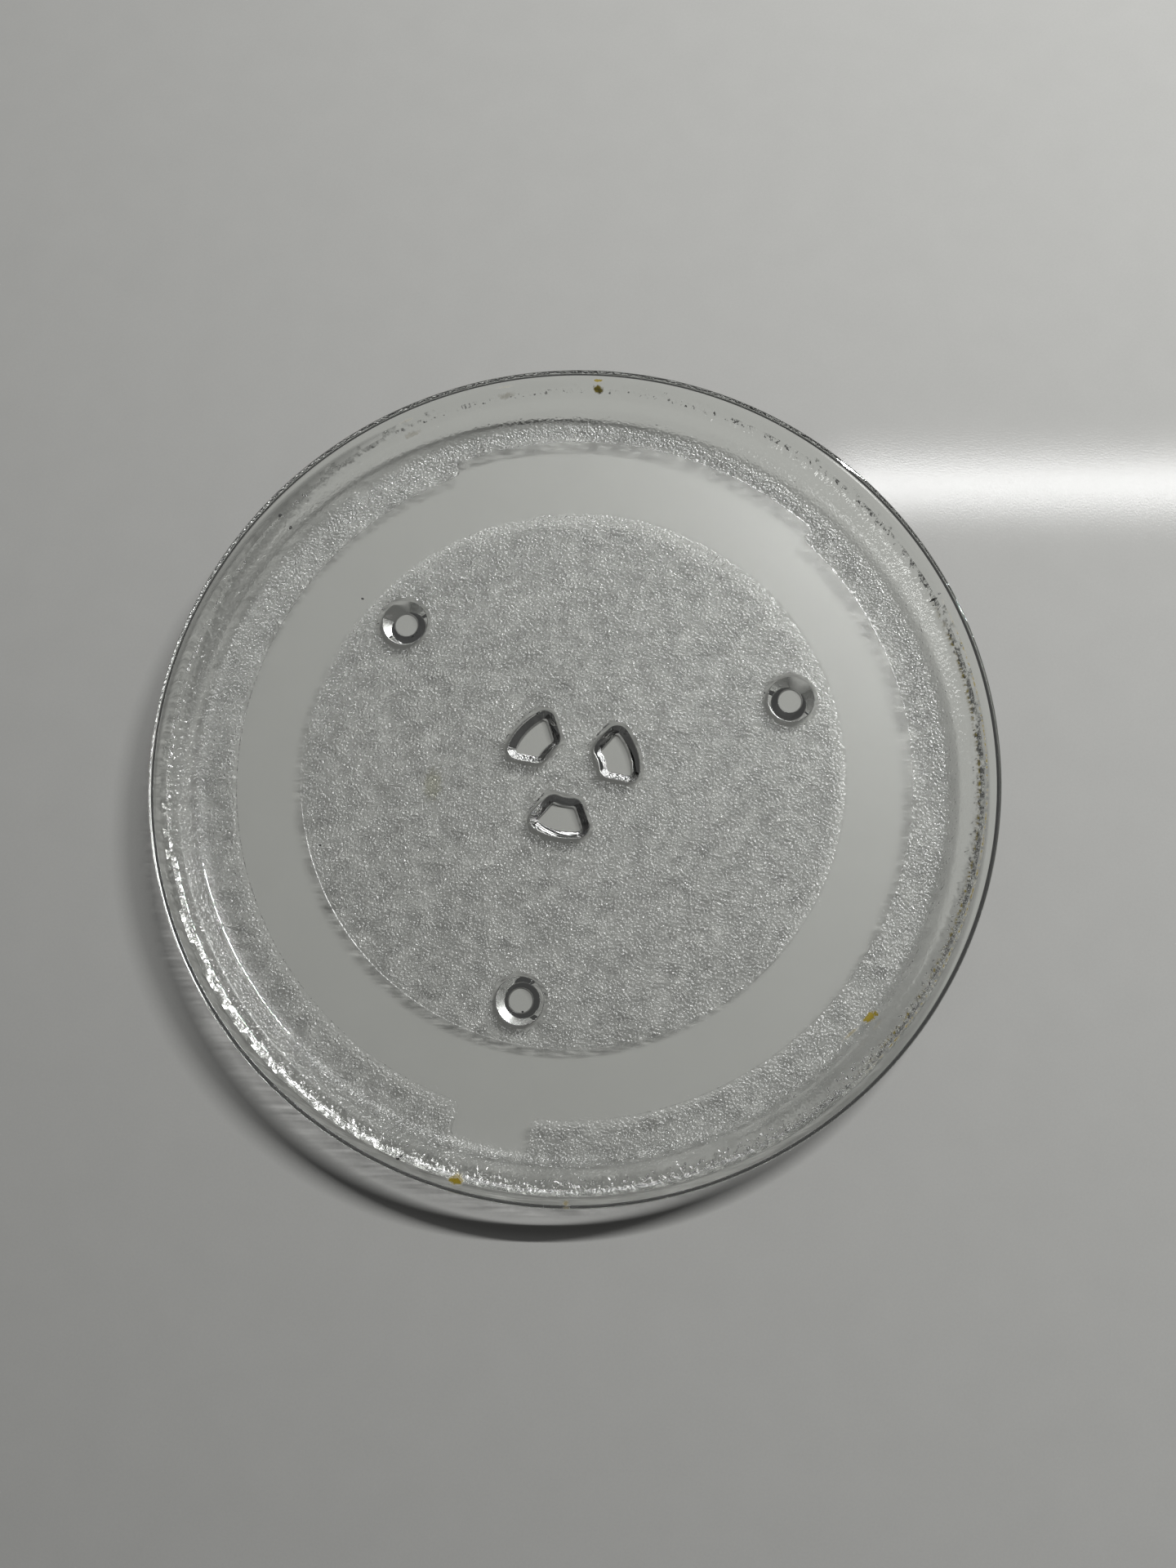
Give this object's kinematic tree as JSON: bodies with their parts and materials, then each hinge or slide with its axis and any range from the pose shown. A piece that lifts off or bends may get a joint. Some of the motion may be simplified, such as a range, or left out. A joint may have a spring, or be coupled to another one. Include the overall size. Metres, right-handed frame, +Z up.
{
  "type": "microwave turntable plate",
  "caption": "Shallow round dish of clear pressed glass with a sloping wall and flat rim; its underside has feet, drive lugs and a smooth roller track.",
  "frame": {"origin": "on the surface that the feet stand on, under the middle of the dish", "axes": "+Z up along the dish's axis; one foot, one drive lug and the short pad towards -Y, the long pad towards +Y"},
  "size_m": [0.288, 0.288, 0.0215],
  "materials": {
    "pressed_glass": "clear pressed glass, polished above, pebbled underneath apart from the track, pads, feet and lugs"
  },
  "bodies": {
    "root": {"turntable_plate": "pressed_glass"}
  },
  "joints": []
}
